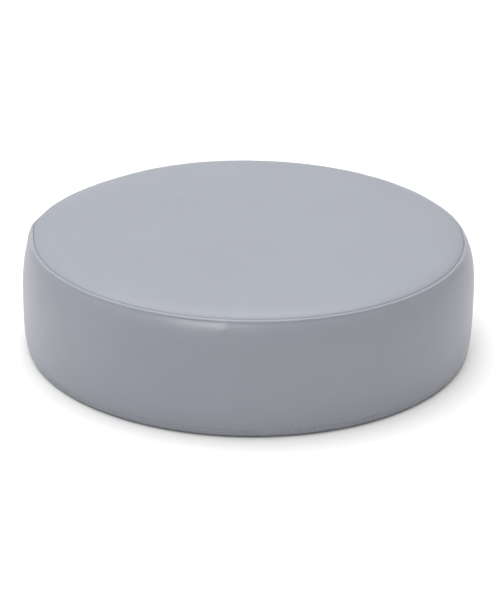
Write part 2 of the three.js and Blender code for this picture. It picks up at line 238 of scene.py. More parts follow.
def makeFoam(name, colour, cell):
    material, tree, shader = newMaterial(name, 0.95)
    point = objectPoint(tree)
    bubbles = addNode(tree, "ShaderNodeTexVoronoi", {"feature": "F1"}, Vector=point, Scale=1 / cell)
    ageing = addNode(tree, "ShaderNodeTexNoise", Vector=point, Scale=14, Detail=3)
    tone = total(tree, bubbles.outputs["Distance"], total(tree, ageing.outputs["Fac"], 0.5, "MULTIPLY"))
    base = ramp(tree, tone, [(0.25, shade(colour, 0.72)), (0.85, colour)])
    tree.links.new(base, shader.inputs["Base Color"])
    addBump(tree, shader, bubbles.outputs["Distance"], cell * 0.5)
    shader.inputs["Subsurface Weight"].default_value = 0.1
    shader.inputs["Subsurface Scale"].default_value = 0.004
    return material


def makeWaddingFibre():
    material, tree, shader = newMaterial("polyesterWadding", 1.0)
    point = objectPoint(tree, scale=(1, 1, 2.4))
    strands = addNode(tree, "ShaderNodeTexNoise", Vector=point, Scale=420, Detail=8, Distortion=6)
    clumps = addNode(tree, "ShaderNodeTexNoise", Vector=point, Scale=45, Detail=3)
    base = ramp(tree, strands.outputs["Fac"], [(0.3, (0.68, 0.68, 0.66)), (0.65, (0.88, 0.88, 0.87))])
    tree.links.new(base, shader.inputs["Base Color"])
    addBump(tree, shader, total(tree, strands.outputs["Fac"], clumps.outputs["Fac"]), 0.0015)
    shader.inputs["Sheen Weight"].default_value = 0.5
    return material


plywoodValues = {"light": (0.60, 0.42, 0.24), "plyThickness": 0.0018}


def makePlywood():
    v = plywoodValues
    material, tree, shader = newMaterial("birchPlywood", 0.65)
    point = objectPoint(tree, scale=(1, 9, 1))
    figure = addNode(tree, "ShaderNodeTexWave", {"bands_direction": "Y"}, Vector=point, Scale=3.2)
    figure.inputs["Distortion"].default_value = 9
    figure.inputs["Detail"].default_value = 4
    drawn = objectPoint(tree, scale=(1, 26, 26))
    pores = addNode(tree, "ShaderNodeTexNoise", Vector=drawn, Scale=60, Detail=5)
    place = addNode(tree, "ShaderNodeTexCoord")
    height = addNode(tree, "ShaderNodeSeparateXYZ", Vector=place.outputs["Object"]).outputs["Z"]
    ply = total(tree, total(tree, height, v["plyThickness"], "DIVIDE"), 2.0, "MODULO")
    lit = ramp(tree, figure.outputs["Fac"], [(0.1, v["light"]), (0.9, shade(v["light"], 0.84))])
    plies = ramp(tree, total(tree, ply, 0.5, "MULTIPLY"), [(0.46, (1, 1, 1)), (0.54, (0.74, 0.66, 0.6))])
    flecks = ramp(tree, pores.outputs["Fac"], [(0.3, (0.72, 0.68, 0.64)), (0.5, (1, 1, 1))])
    stained = multiplied(tree, multiplied(tree, lit, plies), flecks)
    tree.links.new(stained, shader.inputs["Base Color"])
    addBump(tree, shader, pores.outputs["Fac"], 0.0002)
    return material


def makeRubber():
    material, tree, shader = newMaterial("footRubber", 0.75)
    point = objectPoint(tree)
    dust = addNode(tree, "ShaderNodeTexNoise", Vector=point, Scale=240, Detail=5)
    scuffs = addNode(tree, "ShaderNodeTexNoise", Vector=point, Scale=1500, Detail=2)
    base = ramp(tree, dust.outputs["Fac"], [(0.35, (0.018, 0.018, 0.019)), (0.8, (0.055, 0.055, 0.057))])
    tree.links.new(base, shader.inputs["Base Color"])
    tree.links.new(spread(tree, dust.outputs["Fac"], 0.62, 0.88), shader.inputs["Roughness"])
    addBump(tree, shader, scuffs.outputs["Fac"], 0.00008)
    return material


def makeMetal(name, colour, roughness, streak):
    material, tree, shader = newMaterial(name, roughness, 1.0)
    point = objectPoint(tree, scale=streak)
    scratches = addNode(tree, "ShaderNodeTexNoise", Vector=point, Scale=500, Detail=4)
    stain = addNode(tree, "ShaderNodeTexNoise", Vector=objectPoint(tree), Scale=180, Detail=3)
    base = ramp(tree, stain.outputs["Fac"], [(0.3, shade(colour, 0.82)), (0.7, colour)])
    tree.links.new(base, shader.inputs["Base Color"])
    worn = spread(tree, scratches.outputs["Fac"], roughness * 0.7, roughness * 1.5)
    tree.links.new(worn, shader.inputs["Roughness"])
    addBump(tree, shader, scratches.outputs["Fac"], 0.00002)
    return material


def makeTapeWeave():
    material, tree, shader = newMaterial("zipTapeWeave", 0.85)
    place = addNode(tree, "ShaderNodeTexCoord")
    parts = addNode(tree, "ShaderNodeSeparateXYZ", Vector=place.outputs["Object"])
    around = total(tree, parts.outputs["Y"], parts.outputs["X"], "ARCTAN2")
    along = total(tree, around, bodyRadius, "MULTIPLY")
    flat = addNode(tree, "ShaderNodeCombineXYZ", X=along, Y=parts.outputs["Z"]).outputs["Vector"]
    diagonal = {"bands_direction": "DIAGONAL"}
    twill = addNode(tree, "ShaderNodeTexWave", diagonal, Vector=flat, Scale=420, Distortion=0.6)
    warp = addNode(tree, "ShaderNodeTexWave", {"bands_direction": "Y"}, Vector=flat, Scale=620)
    weave = total(tree, twill.outputs["Fac"], warp.outputs["Fac"])
    stops = [(0.2, (0.15, 0.16, 0.18)), (0.8, (0.29, 0.305, 0.34))]
    base = ramp(tree, total(tree, weave, 0.5, "MULTIPLY"), stops)
    tree.links.new(base, shader.inputs["Base Color"])
    addBump(tree, shader, weave, 0.00012)
    shader.inputs["Sheen Weight"].default_value = 0.25
    return material


def makeNylon():
    material, tree, shader = newMaterial("coilNylon", 0.35)
    point = objectPoint(tree)
    drawn = addNode(tree, "ShaderNodeTexNoise", Vector=point, Scale=700, Detail=3)
    base = ramp(tree, drawn.outputs["Fac"], [(0.3, (0.17, 0.18, 0.205)), (0.7, (0.24, 0.255, 0.285))])
    tree.links.new(base, shader.inputs["Base Color"])
    tree.links.new(spread(tree, drawn.outputs["Fac"], 0.28, 0.45), shader.inputs["Roughness"])
    shader.inputs["Coat Weight"].default_value = 0.2
    return material


leatherette = makeLeatherette()
# the welt's copy of the leatherette is 16% lighter: painted light, for the lip that faces up and catches
# more light
weltLeatheretteWithPaintedLight = makeLeatherette("weltLeatheretteWithPaintedLight", 1.16)
thread = makeThread()
baseCloth = makeBaseCloth()
firmFoam = makeFoam("firmFoam", (0.50, 0.56, 0.63), 0.0014)
softFoam = makeFoam("softFoam", (0.80, 0.76, 0.62), 0.0019)
wadding = makeWaddingFibre()
plywood = makePlywood()
rubber = makeRubber()
screwSteel = makeMetal("zincScrew", (0.62, 0.63, 0.66), 0.32, (1, 1, 8))
zipMetal = makeMetal("nickelZip", (0.66, 0.66, 0.68), 0.24, (1, 1, 14))
tapeWeave = makeTapeWeave()
coilNylon = makeNylon()
print("materials made")


def finishPiece(bm, name, material, rides=bodyName, replaces=(), sharp=40):
    mesh = bpy.data.meshes.new(name)
    bm.to_mesh(mesh)
    bm.free()
    mesh.shade_smooth()
    mesh.set_sharp_from_angle(angle=math.radians(sharp))
    mesh.materials.append(material)
    piece = bpy.data.objects.new(name, mesh)
    bpy.context.scene.collection.objects.link(piece)
    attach(piece, rides)
    if replaces:
        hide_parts(*replaces)
    return piece


def spinOutline(outline, start=0.0, sweep=fullTurn, steps=288):
    # outline: closed ring of (radius, height), or one that starts and ends on the axis
    bm = bmesh.new()
    points = [bm.verts.new((radius, 0, height)) for radius, height in outline]
    openEnded = outline[0][0] == 0 and outline[-1][0] == 0
    pairs = list(zip(points, points[1:])) + ([] if openEnded else [(points[-1], points[0])])
    edges = [bm.edges.new(pair) for pair in pairs]
    bmesh.ops.rotate(bm, verts=points, cent=(0, 0, 0), matrix=Matrix.Rotation(start, 3, "Z"))
    whole = sweep >= fullTurn - 1e-6
    bmesh.ops.spin(
        bm, geom=points + edges, cent=(0, 0, 0), axis=(0, 0, 1), dvec=(0, 0, 0),
        angle=sweep, steps=steps, use_merge=whole, use_duplicate=False,
    )
    bmesh.ops.remove_doubles(bm, verts=bm.verts, dist=1e-6)
    if not whole:
        bmesh.ops.holes_fill(bm, edges=[e for e in bm.edges if e.is_boundary], sides=0)
    bmesh.ops.recalc_face_normals(bm, faces=bm.faces)
    return bm


def insetLine(line, distance):
    # the same line, moved to its left by distance
    moved = []
    for i, (radius, height) in enumerate(line):
        before, after = Vector(line[max(i - 1, 0)]), Vector(line[min(i + 1, len(line) - 1)])
        along = (after - before).normalized()
        moved.append((radius - along.y * distance, height + along.x * distance))
    return moved


def skinOutline(line, thickness):
    # a strip of cloth along the line, with half-round edges
    other = insetLine(line, thickness)
    outline = list(line)
    for near, far, back in ((line[-1], other[-1], line[-2]), (other[0], line[0], line[1])):
        near, far, back = Vector(near), Vector(far), Vector(back)
        middle, half = (near + far) / 2, (near - far) / 2
        outwards = (middle - back).normalized() * half.length
        for turn in (45, 90, 135):
            angle = math.radians(turn)
            outline.append(tuple(middle + half * math.cos(angle) + outwards * math.sin(angle)))
        if near == Vector(line[-1]):
            outline += other[::-1]
    return outline


def smoothStep(low, high, value):
    t = min(max((value - low) / (high - low), 0), 1)
    return t * t * (3 - 2 * t)


coverValues = {
    "skin": 0.0012,
    "seamRadius": 0.1884,
    "seamHeight": 0.1004,
    "bellyHeight": 0.040,
    "roundness": 3.1,  # higher keeps the side upright for longer, then turns it in faster
    "turnIn": (0.6, 0.33),  # how abruptly it meets the seam above and the hem below
    "hemRadius": 0.1935,
    "hemHeight": 0.0006,
    "hemReturn": 0.0029,  # how far the hem turns in under the stool
    "stitches": 288,  # round the whole hem
    "columnsPerStitch": 4,
    "hemStitchHeight": 0.0062,
    "stitchGroove": 0.0002,
    "grooveWidth": 0.0008,
    "needleHole": 0.0006,
    "holeSize": (0.16, 0.0006),  # along the seam as a share of a stitch, and across it
    "zipOpening": 0.005,  # from the zip's middle to each folded edge
    "edgeStitch": 0.0028,  # from a folded edge to its topstitching
    "stripGap": 0.0001,  # at each end of a strip, in the vertical seams
    "endTuck": 0.0009,  # how far a strip's end rolls in
    "endTuckWidth": 0.004,
}


def sideRadius(height):
    v = coverValues
    if height >= v["bellyHeight"]:
        up = (height - v["bellyHeight"]) / (v["seamHeight"] - v["bellyHeight"])
        share = max(0, 1 - up ** v["roundness"]) ** v["turnIn"][0]
        return v["seamRadius"] + (bodyRadius - v["seamRadius"]) * share
    down = (v["bellyHeight"] - height) / (v["bellyHeight"] - v["hemHeight"])
    share = max(0, 1 - down ** v["roundness"]) ** v["turnIn"][1]
    return v["hemRadius"] + (bodyRadius - v["hemRadius"]) * share


def sideHeights(low, high):
    # close together at the two edges and at the stitching, wider on the plain stretch
    v = coverValues
    heights = [v["hemHeight"], 0.0011, 0.0019, 0.003, 0.0042, 0.0051]
    heights += [v["hemStitchHeight"] + offset for offset in (-0.0009, -0.0004, 0, 0.0004, 0.0009)]
    heights += [0.0085, 0.010, 0.012, 0.0145, 0.0175, 0.021, 0.025, 0.0285, 0.031]
    edge = v["zipOpening"] + v["edgeStitch"]
    heights += [zipHeight - edge + offset for offset in (-0.0008, 0, 0.0008)]
    heights += [zipHeight - v["zipOpening"], zipHeight, zipHeight + v["zipOpening"]]
    heights += [zipHeight + edge + offset for offset in (-0.0008, 0, 0.0008)]
    heights += [0.052, 0.057, 0.062, 0.067, 0.072, 0.0765, 0.081, 0.085, 0.0885, 0.0905]
    heights += [0.0920, 0.0934, 0.0947, 0.0959, 0.0970]
    return [h for h in sorted(heights) if low - 1e-9 <= h <= high + 1e-9]


def sideLine(low, high):
    return [(sideRadius(height), height) for height in sideHeights(low, high)]


# the strip's lower edge, turned in under the stool
hemTurn = [
    (coverValues["hemRadius"] - coverValues["hemReturn"], coverValues["hemHeight"] + 0.0006),
    (coverValues["hemRadius"] - coverValues["hemReturn"] / 2, coverValues["hemHeight"] + 0.0002),
]
# the strip's top edge comes up beside the bead and turns in behind it
topTuck = [(0.19155, 0.0981), (0.19135, 0.0987), (0.19120, 0.0993), (0.1906, 0.0996), (0.1900, 0.0994)]

seamValues = {
    "pucker": 177,  # degrees round, where the seam stands proud
    "puckerWidth": 5,
    "puckerOut": 0.0024,
    "puckerUp": 0.0002,
    "sags": ((142, 26, 0.0023), (26, 22, 0.0014)),  # degrees round, width, depth
    "crease": (-95.3, 0.0945),  # degrees round, height
    "creaseWidth": (1.5, 0.0045),  # degrees round, up and down
    "creaseDepth": 0.0005,
}


def turnBetween(a, b):
    return (a - b + 180) % 360 - 180


def seamShift(place):
    # the sewn edge isn't quite true: it stands proud in one place, sags in two, and pulls one crease
    v = seamValues
    near = smoothStep(0.086, 0.0985, place.z) * smoothStep(0.150, 0.187, math.hypot(place.x, place.y))
    angle = math.degrees(math.atan2(place.y, place.x))
    out = Vector((place.x, place.y, 0)).normalized()
    proud = math.exp(-((turnBetween(angle, v["pucker"]) / v["puckerWidth"]) ** 2))
    move = (out * v["puckerOut"] + Vector((0, 0, v["puckerUp"]))) * proud * near
    for middle, width, depth in v["sags"]:
        sag = math.exp(-((turnBetween(angle, middle) / width) ** 2))
        move -= (out * 0.5 + Vector((0, 0, 0.9))) * depth * sag * near
    around, height = v["crease"]
    off = turnBetween(angle, around) / v["creaseWidth"][0]
    across = (place.z - height) / v["creaseWidth"][1]
    return move + out * v["creaseDepth"] * math.exp(-(off**2) - across**2)


stuffingValues = {
    "start": 0.0015,  # the sewn form begins this much smaller
    "voxel": 0.005,
    "pressure": 4.0,
    "frames": 20,
    "cap": 0.006,
    "seamPull": 0.0016,  # uneven tension where it is sewn
    "keep": 0.0011,  # the most that a point of the cover may move from the true swell
}
swellTree = None
swellMoves = []


def stuffCover():
    global swellTree
    v, cover = stuffingValues, coverValues
    side = [(sideRadius(h) - v["start"], h) for h in sideHeights(0, 1)[::3]]
    rim = cover["seamRadius"] - v["start"]
    top = [(rim, 0.0995), (rim - 0.004, 0.1018), (rim - 0.018, 0.1030), (rim - 0.06, 0.1036), (0, 0.1038)]
    bm = spinOutline([(0, 0.003), (cover["hemRadius"] - 0.006, 0.002), *side, *top], steps=96)
    mesh = bpy.data.meshes.new("sewnForm")
    bm.to_mesh(mesh)
    bm.free()
    form = bpy.data.objects.new("sewnForm", mesh)
    bpy.context.scene.collection.objects.link(form)
    remesh = form.modifiers.new("remesh", "REMESH")
    remesh.mode, remesh.voxel_size = "VOXEL", v["voxel"]
    bpy.context.view_layer.update()
    evaluated = form.evaluated_get(bpy.context.evaluated_depsgraph_get())
    form.modifiers.clear()
    form.data = bpy.data.meshes.new_from_object(evaluated)

    sewn = form.vertex_groups.new(name="sewn")
    for vertex in form.data.vertices:
        co = vertex.co
        radius = math.hypot(co.x, co.y)
        nearSeam = abs(co.z - cover["seamHeight"]) < 0.004 and radius > rim - 0.006
        if nearSeam or co.z < 0.005:
            sewn.add([vertex.index], 1.0, "REPLACE")
        if nearSeam:
            pull = noise.noise(Vector((co.x * 14, co.y * 14, 3.7))) * v["seamPull"]
            vertex.co = co + Vector((co.x / radius, co.y / radius, -0.5)) * pull
    rest = [vertex.co.copy() for vertex in form.data.vertices]

    cloth = form.modifiers.new("cloth", "CLOTH")
    cloth.settings.quality = 5
    cloth.settings.mass = 0.25
    cloth.settings.tension_stiffness = cloth.settings.compression_stiffness = 18
    cloth.settings.bending_stiffness = 2
    cloth.settings.use_pressure = True
    cloth.settings.uniform_pressure_force = v["pressure"]
    cloth.settings.vertex_group_mass = "sewn"
    cloth.settings.effector_weights.gravity = 0
    cloth.point_cache.frame_start, cloth.point_cache.frame_end = 1, v["frames"]
    for step in range(1, v["frames"] + 1):
        bpy.context.scene.frame_set(step)
    evaluated = form.evaluated_get(bpy.context.evaluated_depsgraph_get())
    moves = []
    for before, after in zip(rest, [vertex.co.copy() for vertex in evaluated.data.vertices]):
        move = after - before
        moves.append(move * min(1, v["cap"] / max(move.length, 1e-9)))
    bpy.context.scene.frame_set(1)
    bpy.data.objects.remove(form)

    # each ring's own mean is the true swell, which the cover's lines hold already: keep the rest
    rings = {}
    for place, move in zip(rest, moves):
        key = (round(math.hypot(place.x, place.y) / 0.012), round(place.z / 0.012))
        rings.setdefault(key, []).append((place, move))
    found = []
    for members in rings.values():
        outwards = [Vector((p.x, p.y, 0)).normalized() for p, _ in members]
        meanOut = sum(m.dot(o) for (_, m), o in zip(members, outwards)) / len(members)
        meanUp = sum(m.z for _, m in members) / len(members)
        for (place, move), out in zip(members, outwards):
            found.append((place, out * (move.dot(out) - meanOut) + Vector((0, 0, move.z - meanUp))))
    swellTree = kdtree.KDTree(len(found))
    for i, (place, move) in enumerate(found):
        swellTree.insert(place, i)
        swellMoves.append(move)
    swellTree.balance()
    largest = max(m.length for m in moves) * 1000
    print("stuffing settled:", len(found), "points, largest move", round(largest, 2), "mm")


def swellAt(place):
    # what the stuffing adds here, with slow unevenness of hand stuffing on top
    v = stuffingValues
    move = Vector()
    if swellTree:
        weights = 0
        for _, index, distance in swellTree.find_n(place, 12):
            weight = 1 / (distance + 0.003) ** 2
            move += swellMoves[index] * weight
            weights += weight
        move /= weights
    radius = max(math.hypot(place.x, place.y), 1e-6)
    out = Vector((place.x / radius, place.y / radius, 0))
    slow = noise.noise(place * 13 + Vector((5.1, 2.3, 0.7))) * 0.5
    slow += noise.noise(place * 34 + Vector((1.9, 8.2, 4.4))) * 0.22
    upFacing = smoothStep(0.097, 0.101, place.z)
    move += (out * (1 - upFacing) * 0.9 + Vector((0, 0, 0.45)) * upFacing) * slow * 0.001
    move *= min(1, v["keep"] / max(move.length, 1e-9))
    angle = math.atan2(place.y, place.x)
    besideZip = smoothStep(0.022, 0.008, abs(place.z - zipHeight)) if zipStart < angle < zipEnd else 0
    return move * smoothStep(0.003, 0.022, place.z) * (1 - 0.9 * besideZip) + seamShift(place)


def settle(bm):
    for vertex in bm.verts:
        vertex.co += swellAt(vertex.co)


stuffCover()


def sinkStitching(bm, start, rows):
    # a shallow groove along each row of stitches, deeper at the needle holes
    v = coverValues
    pitch = fullTurn / v["stitches"]
    for vertex in bm.verts:
        for height in rows:
            off = vertex.co.z - height
            if abs(off) > 2 * v["grooveWidth"]:
                continue
            phase = (math.atan2(vertex.co.y, vertex.co.x) - start) / pitch
            toHole = abs(phase - round(phase))
            hole = (off / v["holeSize"][1]) ** 2 + (toHole / v["holeSize"][0]) ** 2
            depth = v["stitchGroove"] * math.exp(-((off / v["grooveWidth"]) ** 2))
            depth += v["needleHole"] * math.exp(-hole)
            out = Vector((vertex.co.x, vertex.co.y, 0)).normalized()
            vertex.co -= out * depth


topValues = {
    "overhang": 0.0006,  # past the seam, against the bead
    "drop": 0.0056,  # from the crown to the seam
    "flatness": 14,  # higher keeps the top flat nearer to its rolled edge
    "rings": 36,
}


def makeTopPanel():
    v, skin = topValues, coverValues["skin"]
    rim, low = coverValues["seamRadius"] + v["overhang"], seatHeight - v["drop"]
    line = [(0, low + v["drop"])]
    for i in range(1, v["rings"] + 1):
        share = math.sin(math.pi / 2 * i / v["rings"]) ** 0.8  # closer together towards the edge
        line.append((rim * share, low + v["drop"] * max(0, 1 - share ** v["flatness"]) ** 0.5))
    line += [(rim - 0.0001, low - 0.0008), (rim - 0.0005, low - 0.0022)]
    under = [(radius - skin, height - skin) for radius, height in line if radius > 0.004]
    outline = line + under[-3::-1] + [(0, line[0][1] - skin)]
    bm = spinOutline(outline, steps=coverValues["stitches"])
    settle(bm)
    finishPiece(bm, "topPanel", leatherette, replaces=["top_panel"])


weltValues = {"radius": 0.0012, "ringRadius": 0.1900, "height": 0.0994, "unevenness": 0.00015, "sides": 14}


def makeWelt():
    v = weltValues
    outline = []
    for side in range(v["sides"]):
        angle = fullTurn * side / v["sides"]
        across, up = v["radius"] * math.cos(angle), v["radius"] * math.sin(angle)
        outline.append((v["ringRadius"] + across, v["height"] + up))
    bm = spinOutline(outline, steps=720)
    for vertex in bm.verts:
        angle = math.atan2(vertex.co.y, vertex.co.x)
        out = Vector((math.cos(angle), math.sin(angle), 0))
        wander = noise.noise(out * 7) + 0.5 * noise.noise(out * 31)
        vertex.co += (out + Vector((0, 0, 0.6))) * wander * v["unevenness"]
    settle(bm)
    finishPiece(bm, "topWelt", weltLeatheretteWithPaintedLight, replaces=["top_welt"])


def makeSide(name, line, start, sweep, rows, node):
    v = coverValues
    steps = round(sweep / fullTurn * v["stitches"]) * v["columnsPerStitch"]
    gap = v["stripGap"] / bodyRadius
    bm = spinOutline(skinOutline(line, v["skin"]), start + gap, sweep - 2 * gap, steps)
    sinkStitching(bm, start, rows)
    tuckSeams(bm, start, sweep)
    settle(bm)
    finishPiece(bm, name, leatherette, replaces=[node])


def tuckSeams(bm, start, sweep):
    # the strip's two ends roll in towards the vertical seams
    width = coverValues["endTuckWidth"]
    for vertex in bm.verts:
        angle = (math.atan2(vertex.co.y, vertex.co.x) - start) % fullTurn
        away = min(angle, abs(sweep - angle)) * bodyRadius
        if away < width:
            out = Vector((vertex.co.x, vertex.co.y, 0)).normalized()
            vertex.co -= out * coverValues["endTuck"] * (1 - away / width) ** 2


stitchValues = {
    "width": (0.00030, 0.00036),  # half the thread's size, out from the cover and up
    "length": 0.46,  # half the stitch, as a share of the pitch
    "dive": 0.00042,  # how far its ends go into the needle holes
    "proud": 0.00018,
}


def makeStitchRow(name, count, start, height):
    v = stitchValues
    pitch = fullTurn / coverValues["stitches"]
    radius = sideRadius(height)
    slope = math.atan2(sideRadius(height + 0.001) - sideRadius(height - 0.001), 0.002)
    bm = bmesh.new()
    bmesh.ops.create_uvsphere(bm, u_segments=8, v_segments=6, radius=1)
    reach = pitch * radius * v["length"]
    bmesh.ops.scale(bm, vec=(*v["width"], reach), verts=bm.verts)
    bmesh.ops.rotate(bm, cent=(0, 0, 0), matrix=Matrix.Rotation(math.pi / 2, 3, "X"), verts=bm.verts)
    for vertex in bm.verts:
        vertex.co.x -= v["dive"] * abs(vertex.co.y / reach) ** 3
    bmesh.ops.rotate(bm, cent=(0, 0, 0), matrix=Matrix.Rotation(slope, 3, "Y"), verts=bm.verts)
    seat = radius - coverValues["stitchGroove"] + v["proud"]
    bmesh.ops.translate(bm, vec=(seat, 0, height), verts=bm.verts)
    first = Matrix.Rotation(start + pitch / 2, 3, "Z")
    bmesh.ops.rotate(bm, cent=(0, 0, 0), matrix=first, verts=bm.verts)
    bmesh.ops.spin(
        bm, geom=bm.verts[:] + bm.edges[:] + bm.faces[:], cent=(0, 0, 0), axis=(0, 0, 1), dvec=(0, 0, 0),
        angle=pitch * (count - 1), steps=count - 1, use_merge=False, use_duplicate=True,
    )
    bmesh.ops.recalc_face_normals(bm, faces=bm.faces)
    settle(bm)
    finishPiece(bm, name, thread, sharp=180)


def makeCover():
    v = coverValues
    pitch = fullTurn / v["stitches"]
    hem = v["hemStitchHeight"]
    low, high = zipHeight - v["zipOpening"], zipHeight + v["zipOpening"]
    rows = {"Lower": low - v["edgeStitch"], "Upper": high + v["edgeStitch"]}
    zipSweep = zipEnd - zipStart
    makeTopPanel()
    makeWelt()
    whole = hemTurn + sideLine(0, 1) + topTuck
    makeSide("sideStrip", whole, zipEnd, fullTurn - zipSweep, [hem], "side_strip")
    lower, upper = hemTurn + sideLine(0, low), sideLine(high, 1) + topTuck
    makeSide("placketLower", lower, zipStart, zipSweep, [hem, rows["Lower"]], "placket_lower")
    makeSide("placketUpper", upper, zipStart, zipSweep, [rows["Upper"]], "placket_upper")
    makeStitchRow("hemStitches", v["stitches"], 0, hem)
    for name, height in rows.items():
        makeStitchRow("placketStitches" + name, round(zipSweep / pitch), zipStart, height)
    print("cover sewn")


makeCover()


baseValues = {"flat": 0.182, "rim": 0.1902, "rimHeight": 0.0013, "thickness": 0.0008, "ripple": 0.00035}


def makeBasePanel():
    v = baseValues
    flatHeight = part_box("base_panel")[1].z - 0.0012
    line = [(0, flatHeight)] + [(v["flat"] * i / 24, flatHeight) for i in range(1, 25)]
    line += [(v["flat"] + 0.0035, flatHeight - 0.0007)]
    line += [(v["rim"] - 0.001, v["rimHeight"] + 0.0004), (v["rim"], v["rimHeight"])]
    back = [(radius, height + v["thickness"]) for radius, height in line]
    bm = spinOutline(line + back[::-1], steps=192)
    for vertex in bm.verts:
        radius = math.hypot(vertex.co.x, vertex.co.y)
        pucker = noise.noise(Vector((vertex.co.x * 22, vertex.co.y * 22, 9.1)))
        vertex.co.z += pucker * v["ripple"] * smoothStep(0.19, 0.17, radius)
    sheet = finishPiece(bm, "basePanel", baseCloth, replaces=["base_panel"])


footValues = {
    "edge": 0.0007,
    "ridges": 3,
    "ridge": 0.0003,  # depth of the grooves between them
    "ridgePitch": 0.0021,
    "recess": 0.0046,
    "bore": 0.0023,
    "seat": 0.0017,  # height of the screw head's seat
}


def makeFoot(number):
    v = footValues
    node = f"foot_{number}"
    low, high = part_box(node)
    middle, radius = (low + high) / 2, (high.x - low.x) / 2
    outline = [(v["bore"], v["seat"]), (v["recess"], v["seat"])]
    outline += [(v["recess"], low.z + 0.0002), (v["recess"] + 0.0002, low.z)]
    for i in range(v["ridges"]):
        inner = v["recess"] + 0.0011 + i * v["ridgePitch"]
        outline += [(inner, low.z), (inner + 0.0003, low.z + v["ridge"])]
        outline += [(inner + 0.0009, low.z + v["ridge"]), (inner + 0.0012, low.z)]
    for turn in range(0, 91, 30):
        angle = math.radians(turn)
        across, up = v["edge"] * (1 - math.sin(angle)), v["edge"] * (1 - math.cos(angle))
        outline.append((radius - 0.0008 - across, low.z + up))
    outline += [(radius - 0.0002, high.z - 0.0003), (radius - 0.0004, high.z), (v["bore"], high.z)]
    bm = spinOutline(outline, steps=48)
    bmesh.ops.translate(bm, vec=(middle.x, middle.y, 0), verts=bm.verts)
    finishPiece(bm, f"rubberFoot{number}", rubber, replaces=[node], sharp=35)


screwValues = {
    "sides": 24,
    "slotLong": 0.0021,
    "slotShort": 0.00062,
    "slotDepth": 0.0009,
    "threadPitch": 0.0016,
}


def makeScrew(number):
    v = screwValues
    node = f"foot_screw_{number}"
    low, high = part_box(node)
    middle, head = (low + high) / 2, (high.x - low.x) / 2
    bm = bmesh.new()
    bmesh.ops.create_circle(bm, cap_ends=True, segments=v["sides"], radius=head * 0.72)
    bm.faces.ensure_lookup_table()
    face = bm.faces[0]
    # the cross: an inner ring whose points lie far out on four arms and close in between them
    bmesh.ops.inset_region(bm, faces=[face], thickness=head * 0.2, use_even_offset=True)
    for vertex in face.verts:
        angle = math.atan2(vertex.co.y, vertex.co.x)
        onArm = abs((angle + math.pi / 4) % (math.pi / 2) - math.pi / 4) < math.radians(17)
        reach = v["slotLong"] if onArm else v["slotShort"] * 1.5
        side = vertex.co.normalized() * reach
        if onArm:
            axis = round(angle / (math.pi / 2)) * math.pi / 2
            along = Vector((math.cos(axis), math.sin(axis), 0))
            flank = (side - along * side.dot(along)).normalized()
            side = along * reach + flank * v["slotShort"] * min(1, abs(angle - axis) * 9)
        vertex.co = side
    sunk = bmesh.ops.extrude_discrete_faces(bm, faces=[face])["faces"][0]
    bmesh.ops.translate(bm, vec=(0, 0, v["slotDepth"]), verts=sunk.verts)
    bmesh.ops.scale(bm, vec=(0.6, 0.6, 1), verts=sunk.verts)
    rim = [e for e in bm.edges if e.is_boundary]
    for share, height in ((0.9, 0.00018), (1.0, 0.0006), (1.0, 0.00115)):
        rim = extrudeRing(bm, rim, share * head, height)
    rim = extrudeRing(bm, rim, 0.002, 0.00118)
    halfTurns = int((high.z - low.z - 0.004) / v["threadPitch"] * 2)
    for i in range(halfTurns):
        rim = extrudeRing(bm, rim, 0.0020 if i % 2 else 0.0015, 0.0016 + i * v["threadPitch"] / 2)
    rim = extrudeRing(bm, rim, 0.0002, high.z - low.z)
    bmesh.ops.holes_fill(bm, edges=rim, sides=0)
    bmesh.ops.recalc_face_normals(bm, faces=bm.faces)
    bmesh.ops.translate(bm, vec=(middle.x, middle.y, low.z), verts=bm.verts)
    finishPiece(bm, f"footScrew{number}", screwSteel, replaces=[node], sharp=30)


def extrudeRing(bm, edges, radius, height):
    made = bmesh.ops.extrude_edge_only(bm, edges=edges)["geom"]
    for vertex in (g for g in made if isinstance(g, bmesh.types.BMVert)):
        flat = Vector((vertex.co.x, vertex.co.y, 0)).normalized() * radius
        vertex.co = (flat.x, flat.y, height)
    return [g for g in made if isinstance(g, bmesh.types.BMEdge)]


makeBasePanel()
for number in range(1, 7):
    makeFoot(number)
    makeScrew(number)
print("underside made")


def turnedBlock(name, node, material, edge):
    # a disc of foam cut from a sheet, its top and bottom edges softened
    low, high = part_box(node)
    radius = (high.x - low.x) / 2
    outline = [(0, low.z), (radius * 0.5, low.z)]
    for corner, sign in ((low.z + edge[0], -1), (high.z - edge[1], 1)):
        size = edge[0] if sign < 0 else edge[1]
        for turn in range(0, 91, 18):
            angle = math.radians(turn - 90 if sign < 0 else turn)
            outline.append((radius - size + size * math.cos(angle), corner + size * math.sin(angle)))
    outline += [(radius * 0.5, high.z), (0, high.z)]
    finishPiece(spinOutline(outline, steps=144), name, material, replaces=[node])


def makeWaddings():
    v = coverValues
    low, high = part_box("top_wadding")
    rim = (high.x - low.x) / 2
    shares = (0, 0.2, 0.4, 0.6, 0.75, 0.85, 0.92, 0.97)
    line = [(rim * share, high.z - 0.0034 * share**9) for share in shares]
    line += [(rim, high.z - 0.0042), (rim - 0.0006, high.z - 0.0049), (rim - 0.004, low.z + 0.0001)]
    bm = spinOutline(line + [(0, low.z)], steps=144)
    finishPiece(bm, "topWadding", wadding, replaces=["top_wadding"])
    low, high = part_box("side_wadding")
    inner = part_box("support_foam")[1].x + 0.0004
    heights = [low.z + 0.001 + (high.z - low.z - 0.003) * i / 14 for i in range(15)]
    line = [(sideRadius(h) - 0.0052 + 0.0004 * math.sin(h * 900), h) for h in heights]
    outline = [(inner, low.z)] + line + [(inner, high.z - 0.0004)]
    bm = spinOutline(outline, steps=144)
    finishPiece(bm, "sideWadding", wadding, replaces=["side_wadding"])


